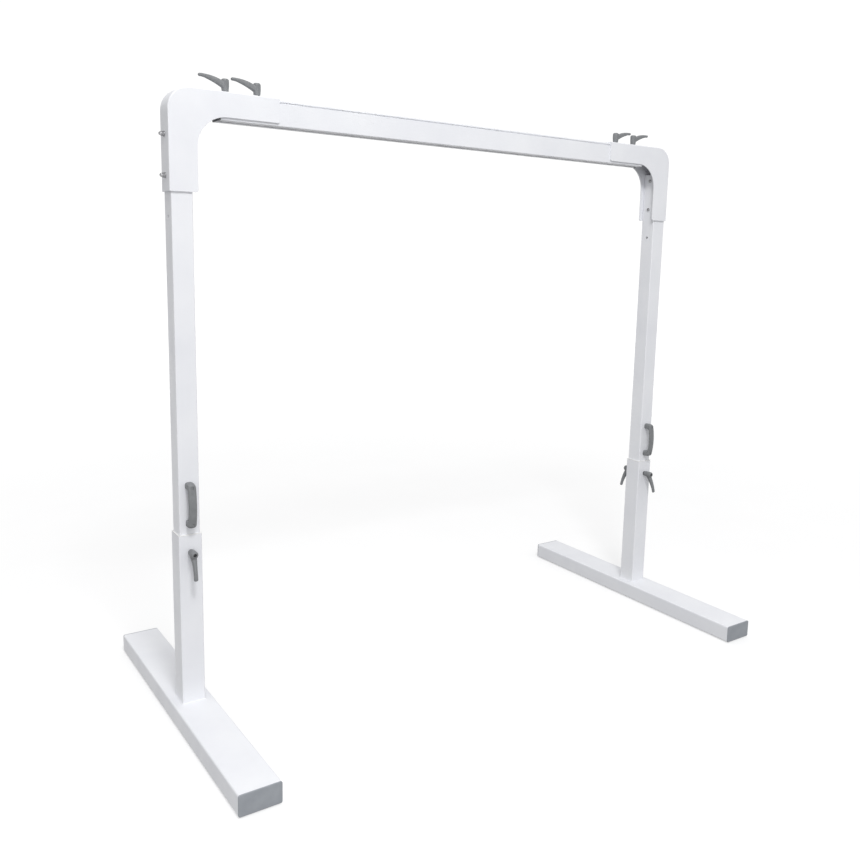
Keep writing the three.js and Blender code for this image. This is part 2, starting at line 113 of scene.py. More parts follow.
def softened(points, radius, closed=True, steps=3):
    """The outline with each corner turned into a short curve that begins a radius before it."""
    curve = []
    count = len(points)
    most = 0.45  # the largest share of a side that one corner's curve takes
    for i, point in enumerate(points):
        if not closed and i in (0, count - 1):
            curve.append(tuple(point))
            continue
        corner = Vector(point)
        before = Vector(points[i - 1]) - corner
        after = Vector(points[(i + 1) % count]) - corner
        start = corner + before.normalized() * min(radius, before.length * most)
        end = corner + after.normalized() * min(radius, after.length * most)
        for k in range(steps + 1):
            t = k / steps
            curve.append(tuple(start * (1 - t) ** 2 + corner * 2 * t * (1 - t) + end * t**2))
    return curve


def bend(start, control, end, steps):
    """Points on a quadratic curve, its first point left out."""
    curve = []
    for k in range(1, steps + 1):
        t = k / steps
        a, b, c = (1 - t) ** 2, 2 * t * (1 - t), t**2
        curve.append(tuple(a * p + b * q + c * r for p, q, r in zip(start, control, end)))
    return curve


def evenly(points, count):
    """The same open line as count points at equal distances."""
    line = [Vector(p) for p in points]
    lengths = [0.0]
    for a, b in zip(line, line[1:]):
        lengths.append(lengths[-1] + (b - a).length)
    curve = []
    piece = 0
    for i in range(count):
        target = lengths[-1] * i / (count - 1)
        while piece < len(line) - 2 and lengths[piece + 1] < target:
            piece += 1
        step = lengths[piece + 1] - lengths[piece]
        share = (target - lengths[piece]) / step if step else 0.0
        curve.append(line[piece].lerp(line[piece + 1], share))
    return curve


# --- meshes ---------------------------------------------------------------------------------------


def add_loft(bm, rings, closed=False):
    """Quads between rings of equally many points: capped at both ends, or joined end to end if closed."""
    rows = [[bm.verts.new(point) for point in ring] for ring in rings]
    pairs = list(zip(rows, rows[1:]))
    if closed:
        pairs.append((rows[-1], rows[0]))
    for low, high in pairs:
        for i in range(len(low)):
            j = (i + 1) % len(low)
            bm.faces.new((low[i], low[j], high[j], high[i]))
    if not closed:
        bm.faces.new(rows[0][::-1])
        bm.faces.new(rows[-1])


def add_lathe(bm, profile, sides=32):
    """(radius, height) pairs turned about Z, closed flat at both ends."""
    turns = [2 * math.pi * i / sides for i in range(sides)]
    rings = [[(r * math.cos(a), r * math.sin(a), z) for a in turns] for r, z in profile]
    add_loft(bm, rings)


def add_prism(bm, loops, low, high):
    """Outlines in (Y, Z), the outer one first and then its holes, drawn out along X."""
    flat = [[Vector((0, y, z)) for y, z in loop] for loop in loops]
    faces = tessellate_polygon(flat)
    ends = []
    for x in (low, high):
        ends.append([[bm.verts.new((x, y, z)) for y, z in loop] for loop in loops])
    for end in ends:
        points = [vertex for loop in end for vertex in loop]
        for face in faces:
            bm.faces.new([points[i] for i in face])
    for near, far in zip(*ends):
        for i in range(len(near)):
            j = (i + 1) % len(near)
            bm.faces.new((near[i], near[j], far[j], far[i]))


def mesh_from(bm, name, matrix=None):
    """The finished mesh, its normals outwards, moved by matrix."""
    bmesh.ops.recalc_face_normals(bm, faces=bm.faces[:])
    if matrix is not None:
        bm.transform(matrix)
    mesh = bpy.data.meshes.new(name)
    bm.to_mesh(mesh)
    bm.free()
    return mesh


def made(name, build, *arguments, matrix=None):
    """A mesh that one of the add_ functions fills."""
    bm = bmesh.new()
    build(bm, *arguments)
    return mesh_from(bm, name, matrix)


def linked(mesh, name):
    thing = bpy.data.objects.new(name, mesh)
    bpy.context.scene.collection.objects.link(thing)
    return thing


def evaluated(thing, name):
    """A new mesh of what the object's modifiers make; the object itself goes."""
    graph = bpy.context.evaluated_depsgraph_get()
    mesh = bpy.data.meshes.new_from_object(thing.evaluated_get(graph))
    mesh.name = name
    bpy.data.objects.remove(thing)
    return mesh


def combined(base, tools, operation="DIFFERENCE"):
    """The base mesh cut by the tool meshes, or joined with them."""
    thing = linked(base, base.name)
    helpers = [linked(tool, "tool") for tool in tools]
    for helper in helpers:
        change = thing.modifiers.new("change", "BOOLEAN")
        change.operation = operation
        change.solver = "EXACT"
        change.object = helper
    result = evaluated(thing, base.name)
    for helper in helpers:
        bpy.data.objects.remove(helper)
    return result


def fused(mesh, voxel, rounds):
    """One smooth cast body: the mesh's pieces melted together, their edges and joints softened."""
    thing = linked(mesh, mesh.name)
    melt = thing.modifiers.new("melt", "REMESH")
    melt.mode = "VOXEL"
    melt.voxel_size = voxel
    melt.adaptivity = 0.0
    soft = thing.modifiers.new("soft", "SMOOTH")
    soft.factor = 0.5
    soft.iterations = rounds
    return evaluated(thing, mesh.name)


def pin(radius, low, high, matrix=None, sides=32):
    """A plain rod along Z, used as a cutting tool."""
    return made("pin", add_lathe, [(radius, low), (radius, high)], sides, matrix=matrix)


ALONG_X = Matrix.Rotation(math.pi / 2, 4, "Y")
ALONG_Y = Matrix.Rotation(-math.pi / 2, 4, "X")


def at(x=0.0, y=0.0, z=0.0):
    return Matrix.Translation((x, y, z))


# --- materials ------------------------------------------------------------------------------------


def add_node(tree, kind, inputs=None, **settings):
    """A node with its settings and inputs; an input that is a socket is linked."""
    node = tree.nodes.new(kind)
    for name, value in settings.items():
        setattr(node, name, value)
    for name, value in (inputs or {}).items():
        socket = node.inputs[name]
        if isinstance(value, bpy.types.NodeSocket):
            tree.links.new(value, socket)
        else:
            socket.default_value = value
    return node


def new_material(name, **constants):
    """A material with a Principled shader, and its constant sockets set."""
    material = bpy.data.materials.new(name)
    material.use_nodes = True
    shader = material.node_tree.nodes["Principled BSDF"]
    for socket, value in constants.items():
        shader.inputs[socket.replace("_", " ")].default_value = value
    return material, material.node_tree, shader


def noise(tree, scale, detail, stretch=None):
    """Noise in the piece's own coordinates; stretch scales each axis."""
    place = add_node(tree, "ShaderNodeTexCoord").outputs["Object"]
    if stretch:
        mapping = add_node(tree, "ShaderNodeMapping", {"Vector": place, "Scale": stretch})
        place = mapping.outputs["Vector"]
    inputs = {"Vector": place, "Scale": scale, "Detail": detail}
    return add_node(tree, "ShaderNodeTexNoise", inputs).outputs["Fac"]


NOISE_LOW, NOISE_HIGH = 0.3, 0.7  # nearly all of a noise texture lies between these


def ramp(tree, value, low, high):
    """Maps noise to a colour between low and high."""
    node = add_node(tree, "ShaderNodeValToRGB", {"Fac": value})
    ends = zip(node.color_ramp.elements, (NOISE_LOW, NOISE_HIGH), (low, high))
    for element, position, colour in ends:
        element.position = position
        element.color = (*colour, 1)
    return node.outputs["Color"]


def between(tree, value, low, high, start=NOISE_LOW, end=NOISE_HIGH):
    """Maps a value that goes from start to end to a number that goes from low to high."""
    inputs = {"Value": value, "From Min": start, "From Max": end, "To Min": low, "To Max": high}
    return add_node(tree, "ShaderNodeMapRange", inputs).outputs["Result"]


def edges(tree, radius):
    """Near 1 along the piece's edges and 0 on its flats."""
    bevel = add_node(tree, "ShaderNodeBevel", {"Radius": radius}, samples=4)
    flat = add_node(tree, "ShaderNodeNewGeometry").outputs["Normal"]
    inputs = {0: bevel.outputs["Normal"], 1: flat}
    alike = add_node(tree, "ShaderNodeVectorMath", inputs, operation="DOT_PRODUCT")
    at_edge, on_flat = 0.75, 0.99
    return between(tree, alike.outputs["Value"], 1.0, 0.0, at_edge, on_flat)


def worn_edges(tree, radius, scale, detail, least, most):
    """How rubbed the surface is: in patches from least to most along its edges, and 0 on its flats."""
    inputs = {0: edges(tree, radius), 1: between(tree, noise(tree, scale, detail), least, most)}
    return add_node(tree, "ShaderNodeMath", inputs, operation="MULTIPLY").outputs["Value"]


def mixed(tree, share, first, second):
    """A colour that goes from first to second as share goes from 0 to 1."""
    inputs = {"Fac": share, "Color1": first, "Color2": second}
    return add_node(tree, "ShaderNodeMixRGB", inputs).outputs["Color"]


def bumped(tree, shader, height, distance):
    """Fine relief, at most distance high, on all of a shader's surface."""
    bump = add_node(tree, "ShaderNodeBump", {"Height": height, "Distance": distance, "Strength": 1.0})
    tree.links.new(bump.outputs["Normal"], shader.inputs["Normal"])


def powder_coat():
    """White powder coat: orange peel, faint clouds, and a little grey rubbed in along the edges."""
    material, tree, shader = new_material("powder_coat", Specular_IOR_Level=0.45)
    clouds = ramp(tree, noise(tree, 6, 3), (0.79, 0.80, 0.84), (0.84, 0.85, 0.88))
    rubbed = worn_edges(tree, 0.0025, 90, 4, 0.0, 0.55)
    tree.links.new(mixed(tree, rubbed, clouds, (0.66, 0.67, 0.70, 1)), shader.inputs["Base Color"])
    smears = between(tree, noise(tree, 25, 3, stretch=(1, 1, 0.2)), 0.34, 0.46)
    tree.links.new(smears, shader.inputs["Roughness"])
    bumped(tree, shader, noise(tree, 420, 2), 0.00018)
    return material


def cap_plastic():
    """Blue-grey moulded end caps with a fine spark texture."""
    material, tree, shader = new_material("cap_plastic", Specular_IOR_Level=0.35)
    clouds = ramp(tree, noise(tree, 30, 4), (0.30, 0.32, 0.35), (0.35, 0.37, 0.40))
    rubbed = worn_edges(tree, 0.0015, 160, 3, 0.0, 0.6)
    tree.links.new(mixed(tree, rubbed, clouds, (0.42, 0.44, 0.47, 1)), shader.inputs["Base Color"])
    tree.links.new(between(tree, noise(tree, 60, 3), 0.5, 0.64), shader.inputs["Roughness"])
    bumped(tree, shader, noise(tree, 1400, 2), 0.00008)
    return material


def dark_plastic():
    """Dark grey glass-filled nylon of the levers and handles, lighter along its edges: partly rubbed wear,
    partly a painted sheen.
    """
    material, tree, shader = new_material("dark_plastic", Specular_IOR_Level=0.5)
    clouds = ramp(tree, noise(tree, 55, 4), (0.175, 0.182, 0.19), (0.215, 0.222, 0.231))
    # Lighter colour along every edge: rubbed wear with a painted sheen that stands in for polish.
    rubbed = worn_edges(tree, 0.0012, 220, 3, 0.1, 0.8)
    tree.links.new(mixed(tree, rubbed, clouds, (0.32, 0.327, 0.338, 1)), shader.inputs["Base Color"])
    tree.links.new(between(tree, noise(tree, 80, 3), 0.36, 0.56), shader.inputs["Roughness"])
    bumped(tree, shader, noise(tree, 1600, 3), 0.0001)
    return material


def black_rubber():
    """Matt black rubber, dusty in patches."""
    material, tree, shader = new_material("black_rubber", Specular_IOR_Level=0.3)
    dust = ramp(tree, noise(tree, 70, 5), (0.02, 0.02, 0.021), (0.055, 0.053, 0.05))
    tree.links.new(dust, shader.inputs["Base Color"])
    tree.links.new(between(tree, noise(tree, 200, 3), 0.72, 0.9), shader.inputs["Roughness"])
    bumped(tree, shader, noise(tree, 900, 3), 0.0002)
    return material


def white_nylon():
    """Natural white nylon of the guides, a little waxy."""
    material, tree, shader = new_material("white_nylon", Specular_IOR_Level=0.5)
    clouds = ramp(tree, noise(tree, 45, 3), (0.82, 0.82, 0.815), (0.87, 0.87, 0.865))
    tree.links.new(clouds, shader.inputs["Base Color"])
    tree.links.new(between(tree, noise(tree, 120, 3), 0.38, 0.52), shader.inputs["Roughness"])
    bumped(tree, shader, noise(tree, 700, 2), 0.00006)
    return material


def black_steel():
    """Blackened steel with bright rubbed edges."""
    material, tree, shader = new_material("black_steel", Metallic=0.3, Specular_IOR_Level=0.4)
    clouds = ramp(tree, noise(tree, 120, 4), (0.022, 0.023, 0.025), (0.045, 0.046, 0.049))
    rubbed = worn_edges(tree, 0.0006, 400, 3, 0.1, 0.9)
    tree.links.new(mixed(tree, rubbed, clouds, (0.3, 0.3, 0.31, 1)), shader.inputs["Base Color"])
    tree.links.new(between(tree, noise(tree, 300, 3), 0.3, 0.5), shader.inputs["Roughness"])
    bumped(tree, shader, noise(tree, 1200, 2), 0.00004)
    return material


def zinc_steel():
    """Zinc-plated steel, cloudy, with fine turning marks."""
    material, tree, shader = new_material("zinc_steel", Metallic=1.0)
    clouds = ramp(tree, noise(tree, 140, 4), (0.30, 0.30, 0.31), (0.41, 0.41, 0.42))
    tree.links.new(clouds, shader.inputs["Base Color"])
    tree.links.new(between(tree, noise(tree, 260, 3), 0.32, 0.50), shader.inputs["Roughness"])
    bumped(tree, shader, noise(tree, 500, 3, stretch=(1, 1, 6)), 0.00006)
    return material


LOOKS = {
    "white_powder_coat": powder_coat(),
    "grey_end_cap": cap_plastic(),
    "dark_grey_plastic": dark_plastic(),
    "black_rubber": black_rubber(),
    "white_nylon": white_nylon(),
    "black_steel": black_steel(),
    "zinc_steel": zinc_steel(),
}


# --- putting pieces in place ----------------------------------------------------------------------


def dressed(thing, slot):
    """Gives a piece its material slot's finish and smooth shading with crisp edges."""
    mesh = thing.data
    if not mesh.materials:
        mesh.materials.append(LOOKS[slot])
        mesh.shade_smooth()
        mesh.set_sharp_from_angle(angle=math.radians(SMOOTH_ANGLE))
    weighted = thing.modifiers.new("weighted", "WEIGHTED_NORMAL")
    weighted.keep_sharp = True
    return thing


def stand_for(node, mesh, matrix):
    """Puts a mesh in place of a CAD node, on the node's body and with its material slot."""
    thing = linked(mesh, f"{node}_fine")
    thing.matrix_world = matrix
    dressed(thing, SLOT_OF[node])
    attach(thing, BODY_OF[node])
    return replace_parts(thing, node)


def extra(name, mesh, body, slot, matrix):
    """Puts in a piece that has no CAD node of its own."""
    thing = linked(mesh, name)
    thing.matrix_world = matrix
    dressed(thing, slot)
    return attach(thing, body)


def centre_and_size(node):
    low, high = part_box(node)
    return (low + high) / 2, high - low


def height_above(node, level):
    """How far the middle of a CAD node lies above a level."""
    low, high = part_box(node)
    return (low.z + high.z) / 2 - level


# --- floor beam and socket post -------------------------------------------------------------------


def ring(width, depth, corner, height, steps=6):
    """A rounded rectangle at one height, as points in space."""
    return [(x, y, height) for x, y in rounded_rectangle(width, depth, corner, steps)]


def add_tube(bm, width, depth, corner, wall, length):
    """An upright rounded tube, centred, whose two cut ends have slightly rounded rims."""
    least_corner = 0.0004
    rings = []
    for inset, height in rounded_rectangle(wall, length, CUT_EDGE, 2):
        inset += wall / 2
        inside = max(corner - inset, least_corner)
        rings.append(ring(width - 2 * inset, depth - 2 * inset, inside, height))
    add_loft(bm, rings, closed=True)


def build_foot_beam(side):
    node = f"foot_beam_{side}"
    centre, size = centre_and_size(node)
    mesh = made(node, add_tube, size.x, size.z, FOOT_CORNER, FOOT_WALL, size.y, matrix=ALONG_Y)
    stand_for(node, mesh, Matrix.Translation(centre))


def build_foot_cap(end, side):
    """A plate with soft edges and a slightly crowned face, on a plug inside the beam."""
    node = f"foot_cap_{end}_{side}"
    centre, size = centre_and_size(node)
    plate, edge, chamfer = 0.004, 0.0012, 0.001
    crown, crown_inset = 0.0005, 0.012
    least_corner = 0.002
    plug = size.y - plate
    inside = FOOT_WALL + GAP
    profile = [(inside + chamfer, 0.0), (inside, chamfer), (inside, plug), (0.0, plug)]
    top = plug + plate - crown
    for angle in (0, 22, 45, 67, 90):
        a = math.radians(angle)
        profile.append((edge - edge * math.cos(a), top - edge + edge * math.sin(a)))
    profile.append((crown_inset, plug + plate))
    rings = []
    for inset, height in profile:
        corner = max(FOOT_CORNER - inset, least_corner)
        rings.append(ring(size.x - 2 * inset, size.z - 2 * inset, corner, height - size.y / 2))
    outwards = Matrix.Rotation(math.pi / 2 if end == "front" else -math.pi / 2, 4, "X")
    mesh = made(node, add_loft, rings, matrix=outwards)
    stand_for(node, mesh, Matrix.Translation(centre))


def build_foot_pad(end, side):
    """A rubber plate with soft edges above and below."""
    node = f"foot_pad_{end}_{side}"
    centre, size = centre_and_size(node)
    edge = 0.0006
    rings = []
    for inset, height in [(edge, -0.5), (0, -0.3), (0, 0.3), (edge, 0.5)]:
        rings.append(ring(size.x - 2 * inset, size.y - 2 * inset, FOOT_CORNER - inset, height * size.z))
    stand_for(node, made(node, add_loft, rings), Matrix.Translation(centre))


def clamp_hole(side, centre, size):
    """The tool that bores a piece from front to back for its mast levers' studs."""
    height = height_above(f"mast_lever_front_{side}_stud", centre.z)
    return pin(STUD_HOLE, -size.y, size.y, at(z=height) @ ALONG_Y)


def build_socket_post(side):
    node = f"socket_post_{side}"
    centre, size = centre_and_size(node)
    mesh = made(node, add_tube, size.x, size.y, SOCKET_CORNER, SOCKET_WALL, size.z)
    mesh = combined(mesh, [clamp_hole(side, centre, size)])
    stand_for(node, mesh, Matrix.Translation(centre))


def build_weld(side):
    """The painted fillet weld between the floor beam and the socket post, with faint ripples."""
    centre, size = centre_and_size(f"socket_post_{side}")
    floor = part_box(f"foot_beam_{side}")[1].z
    leg, ripple, spacing, lift = 0.0042, 0.00022, 0.0042, 0.00005
    station_count, squareness = 360, 12
    outline = rounded_rectangle(size.x, size.y, SOCKET_CORNER, 8)
    outline.append(outline[0])
    stations = evenly(outline, station_count)[:-1]
    length = 2 * (size.x + size.y)
    # The hollow fillet in shares of its leg: out from the post's wall, and up from the beam
    profile = [(-0.0002, 0.0), (-0.0002, 1.0), (0.0, 1.0), (0.12, 0.78), (0.32, 0.45),
               (0.56, 0.2), (0.82, 0.06), (1.0, 0.0)]
    rings = []
    for reach, rise in profile:
        points = []
        for i, point in enumerate(stations):
            normal = Vector((point.x / (size.x / 2), point.y / (size.y / 2)))
            along = length * i / len(stations)
            swell = 1 + ripple / leg * math.sin(2 * math.pi * along / spacing)
            sharp = Vector((math.copysign(abs(normal.x) ** squareness, normal.x),
                            math.copysign(abs(normal.y) ** squareness, normal.y)))
            out = sharp.normalized() * leg * reach * swell
            points.append((point.x + out.x, point.y + out.y, rise * leg * swell + lift))
        rings.append(points)
    mesh = made("weld", add_loft, rings, True)
    extra(f"weld_{side}", mesh, f"base_{side}", "white_powder_coat", at(centre.x, centre.y, floor))


def build_guide_bush(side):
    """The sleeve between socket and mast; only its flange on the rim shows."""
    node = f"guide_bush_{side}"
    centre, size = centre_and_size(node)
    flange, edge, lead_in, least_corner = 0.0025, 0.0009, 0.0006, 0.0015
    inner = SOCKET_WALL + GAP + BUSH_SLEEVE_WALL
    sleeve = SOCKET_WALL + GAP
    bottom, top = -size.z / 2, size.z / 2
    under = top - flange
    profile = [(sleeve, bottom), (sleeve, under), (0.0, under), (0.0, top - edge),
               (edge / 3, top - edge / 3), (edge, top), (inner - lead_in, top), (inner, top - lead_in),
               (inner, bottom)]
    rings = []
    for inset, height in profile:
        corner = max(SOCKET_CORNER - inset, least_corner)
        rings.append(ring(size.x - 2 * inset, size.y - 2 * inset, corner, height))
    mesh = combined(made(node, add_loft, rings, True), [clamp_hole(side, centre, size)])
    stand_for(node, mesh, Matrix.Translation(centre))


def build_base(side):
    build_foot_beam(side)
    for end in ENDS:
        build_foot_cap(end, side)
        build_foot_pad(end, side)
    build_socket_post(side)
    build_weld(side)
    build_guide_bush(side)


# --- mast -----------------------------------------------------------------------------------------

BOLT_SPACING = 0.120
HANDLE_PITCH = 0.120


def build_mast(side):
    """The sliding tube, bored through for its two bolts and once more below the corner housing."""
    node = f"mast_{side}"
    centre, size = centre_and_size(node)
    mesh = made(node, add_tube, size.x, size.y, MAST_CORNER, MAST_WALL, size.z)
    top = height_above(f"cross_bolt_upper_{side}", centre.z)
    holes = [pin(BOLT_HOLE, -size.x, size.x, at(z=top - k * BOLT_SPACING) @ ALONG_X) for k in range(3)]
    for end in ("upper", "lower"):
        height = height_above(f"handle_screw_{end}_{side}", centre.z)
        holes.append(pin(SCREW_HOLE, -size.y, 0.0, at(z=height) @ ALONG_Y))
    stand_for(node, combined(mesh, holes), Matrix.Translation(centre))


def paired_rings(lows, highs, half_widths, power, sides=28):
    """Rings round the line between two outlines in (Y, Z): each spans a low point, a high point and
    twice the half width along X. A higher power makes the section squarer."""
    rings = []
    for low, high, half in zip(lows, highs, half_widths):
        low, high = Vector((0, *low)), Vector((0, *high))
        centre, reach = (low + high) / 2, (high - low) / 2
        points = []
        for i in range(sides):
            turn = 2 * math.pi * i / sides
            across, up = math.cos(turn), math.sin(turn)
            across = math.copysign(abs(across) ** (2 / power), across)
            up = math.copysign(abs(up) ** (2 / power), up)
            points.append(centre + reach * up + Vector((half * across, 0, 0)))
        rings.append(points)
    return rings


def handle_lines():
    """The bow handle's outer and inner outline in (Y, Z), from the lower foot to the upper one."""
    height, depth, bow, grip, leg = 0.146, 0.040, 0.007, 0.011, 0.020
    shoulder, gap_shoulder = 0.011, 0.010

    def bow_line(bow_radius, end, corner, turn, line_depth, straight):
        """A foot's face, a straight leg and a bend to the bow, then the same mirrored."""
        line = [(-GAP, -corner), (-line_depth * straight, -corner)]
        line += bend(line[-1], (-line_depth, -corner), (-line_depth, -end), 12)
        line += arc((radius - depth, 0), bow_radius, 180 + turn, 180 - turn, 24)[1:]
        line += bend(line[-1], (-line_depth, corner), (-line_depth * straight, corner), 12)
        line.append((-GAP, corner))
        return line

    grip_end = height / 2 - shoulder
    grip_depth = depth - bow
    radius = (grip_end**2 + bow**2) / (2 * bow)
    turn = math.degrees(math.asin(grip_end / radius))
    outer = bow_line(radius, grip_end, height / 2, turn, grip_depth, 0.45)
    gap_end = HANDLE_PITCH / 2 - leg
    inside = radius - grip
    inner_turn = math.degrees(math.asin(gap_end / inside))
    inner_depth = inside * math.cos(math.radians(inner_turn)) - (radius - depth)
    inner = bow_line(inside, gap_end, gap_end + gap_shoulder, inner_turn, inner_depth, 0.3)
    return outer, inner


def handle_mesh():
    """The bow handle with its counterbored screw holes and a plug in each; its origin is midway
    between the screws on the mast's face."""
    half, squareness = 0.013, 3.0
    screw_hole, bore, bore_floor = 0.0033, 0.0055, 0.014
    plug_radius, plug_face, plug_back, plug_edge = bore - 0.0002, 0.0316, 0.0216, 0.0006
    outside, inside = 0.08, 0.01  # how far the cutting pins reach
    outer, inner = handle_lines()
    rings = paired_rings(inner, outer, [half] * len(outer), squareness)
    body = made("grab_handle", add_loft, rings)
    places = [at(z=sign * HANDLE_PITCH / 2) @ ALONG_Y for sign in (-1, 1)]
    holes = []
    for place in places:
        holes.append(pin(screw_hole, -outside, inside, place))
        holes.append(pin(bore, -outside, -bore_floor, place))
    body = combined(body, holes)
    bm = bmesh.new()
    bm.from_mesh(body)
    plug = [(0.0001, -plug_face), (plug_radius, -plug_face), (plug_radius, -plug_back)]
    for place in places:
        start = len(bm.verts)
        add_lathe(bm, softened(plug, plug_edge, closed=False))
        bm.verts.ensure_lookup_table()
        bmesh.ops.transform(bm, matrix=place, verts=bm.verts[start:])
    return mesh_from(bm, "grab_handle")


def build_handle(side, mesh):
    low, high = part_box(f"grab_handle_{side}")
    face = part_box(f"mast_{side}")[0].y
    stand_for(f"grab_handle_{side}", mesh, at((low.x + high.x) / 2, face, (low.z + high.z) / 2))


def build_masts():
    handle = handle_mesh()
    for side in SIDES:
        build_mast(side)
        build_handle(side, handle)


# --- corner housing -------------------------------------------------------------------------------

# The left housing's sizes from its mast's centre line: out to its outer wall, reach to the arm's mouth,
# lip to the cheeks' free edges.
housing_low, housing_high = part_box("corner_housing_left")
LEFT_POST = centre_and_size("mast_left")[0].x
HOUSING = {
    "half_depth": housing_high.y,
    "bottom": housing_low.z,
    "top": housing_high.z,
    "out": LEFT_POST - housing_low.x,
    "reach": housing_high.x - LEFT_POST,
    "wall": 0.005,
    "arm_height": 0.076,
    "lip": 0.049,
    "outer_radius": 0.065,
    "inner_radius": 0.095,
    "edge": 0.0035,
    "end_corner": 0.008,
}


def housing_lines():
    """Matching points in (X, Z) on the outside, on the cavity's ceiling and on the cheeks' free edge,
    from the foot of the leg round the bend to the mouth of the arm."""
    h = HOUSING
    arm_bottom = h["top"] - h["arm_height"]
    straight, curve = 6, 20
    centre = (h["outer_radius"] - h["out"], h["top"] - h["outer_radius"])
    leg_top = arm_bottom - h["inner_radius"]
    arm_start = h["lip"] + h["inner_radius"]

    def wall_line(inset):
        line = [(-h["out"] + inset, leg_top)]
        line += arc(centre, h["outer_radius"] - inset, 180, 90, 24)
        line.append((arm_start, h["top"] - inset))
        return evenly(line, curve + 1)

    edge_line = arc((arm_start, leg_top), h["inner_radius"], 180, 90, curve)
    outside, ceiling, edge = wall_line(0.0), wall_line(h["wall"]), [Vector(p) for p in edge_line]
    corner = h["end_corner"]
    leg, arm = [], []
    for angle in range(0, 91, 15):
        rise = corner * (1 - math.cos(math.radians(angle)))
        back = corner * (1 - math.sin(math.radians(angle)))
        z = h["bottom"] + rise
        leg.append([Vector((x, z)) for x in (-h["out"], -h["out"] + h["wall"], h["lip"] - back)])
        x = h["reach"] - rise
        arm.append([Vector((x, z)) for z in (h["top"], h["top"] - h["wall"], arm_bottom + back)])
    for k in range(1, straight):
        share = k / straight
        z = h["bottom"] + corner + (leg_top - h["bottom"] - corner) * share
        leg.append([Vector((x, z)) for x in (-h["out"], -h["out"] + h["wall"], h["lip"])])
        x = h["reach"] - corner - (h["reach"] - corner - arm_start) * share
        arm.append([Vector((x, z)) for z in (h["top"], h["top"] - h["wall"], arm_bottom)])
    return leg + [list(three) for three in zip(outside, ceiling, edge)] + arm[::-1]


def housing_section(outside, ceiling, edge):
    """The channel's cut at one station: two cheeks and the wall between them, edges rounded."""
    h = HOUSING
    half, wall, round_edge = h["half_depth"], h["wall"], h["edge"]
    lip_edge, fillet = 0.0008, 0.002
    down = (edge - outside).normalized()
    fillet_leg = min(fillet, (edge - ceiling).length * 0.3)
    points = []

    def put(y, base, drop):
        spot = base + down * drop
        points.append((spot.x, y, spot.y))

    for sign in (-1, 1):
        outer = [(half - wall + lip_edge, edge, 0.0), (half - lip_edge, edge, 0.0),
                 (half - lip_edge * MIDWAY, edge, -lip_edge * MIDWAY), (half, edge, -lip_edge)]
        for angle in (0, 22.5, 45, 67.5, 90):
            a = math.radians(angle)
            outer.append((half - round_edge + round_edge * math.cos(a), outside,
                          round_edge - round_edge * math.sin(a)))
        for y, base, drop in outer if sign < 0 else outer[::-1]:
            put(sign * y, base, drop)
    for sign in (1, -1):
        inner = [(half - wall, edge, -lip_edge), (half - wall, ceiling, fillet_leg),
                 (half - wall - fillet * MIDWAY, ceiling, fillet * MIDWAY),
                 (half - wall - fillet, ceiling, 0.0)]
        for y, base, drop in inner if sign > 0 else inner[::-1]:
            put(sign * y, base, drop)
    return points


def housing_mesh():
    """The bent channel with its bolt holes and its clamp screw holes, drawn round the left mast's axis."""
    rings = [housing_section(*three) for three in housing_lines()]
    body = made("corner_housing", add_loft, rings)
    top, outwards, through = HOUSING["top"], 0.1, 0.01  # how far the cutting pins reach
    holes = []
    for end in ("upper", "lower"):
        height = centre_and_size(f"cross_bolt_{end}_left")[0].z
        holes.append(pin(BOLT_HOLE, -outwards, 0.0, at(z=height) @ ALONG_X))
    for which in ("outer", "inner"):
        along = centre_and_size(f"rail_lever_{which}_left_stud")[0].x - LEFT_POST
        holes.append(pin(STUD_HOLE, top - through, top + through, at(x=along)))
    return combined(body, holes)


def hexagon(flats, low, high):
    """A hexagonal rod along Z, measured across its flats."""
    return pin(flats / math.sqrt(3), low, high, sides=6)


def bolt_mesh():
    """A button-head bolt along Z, its head above 0, with a hexagon socket."""
    shank, radius, chamfer = 0.0836, 0.004, 0.0006
    head, head_radius, head_edge = 0.005, 0.007, 0.0004
    socket, socket_depth, above = 0.005, 0.0026, 0.01
    outline = [(radius - chamfer, -shank), (radius, -shank + chamfer), (radius, GAP)]
    outline += [(head_radius - head_edge, GAP), (head_radius, GAP + head_edge), (head_radius, 0.0016)]
    outline += [(0.0064, 0.0032), (0.0052, 0.0044), (0.0036, head)]
    body = made("cross_bolt", add_lathe, outline)
    return combined(body, [hexagon(socket, head - socket_depth, head + above)])


def dome_nut_mesh():
    """A dome nut on its washer face, standing on Z = 0."""
    flats, base, height, dome = 0.013, 0.010, 0.017, 0.0061
    washer, washer_radius, washer_edge = 0.0018, 0.0086, 0.0004
    hexagon_low, chamfer_start, hexagon_top, chamfer_rim = 0.0014, 0.0086, 0.0098, 0.0002
    thread, thread_depth, below = 0.0043, 0.013, 0.01
    rim = [(washer_radius, 0.0), (washer_radius, washer), (0.0070, washer)]
    profile = [(0.0078, 0.0)] + softened(rim, washer_edge, closed=False) + [(dome, washer)]
    for angle in range(0, 85, 12):
        a = math.radians(angle)
        profile.append((dome * math.cos(a), base + (height - base) * math.sin(a)))
    body = made("dome_nut", add_lathe, profile, 48)
    corner = flats / math.sqrt(3)
    blank = hexagon(flats, hexagon_low, hexagon_top)
    turned = [(corner, 0.001), (corner, chamfer_start), (flats / 2 - chamfer_rim, hexagon_top)]
    crown = combined(blank, [made("cone", add_lathe, turned, 48)], "INTERSECT")
    body = combined(body, [crown], "UNION")
    return combined(body, [pin(thread, -below, thread_depth)])


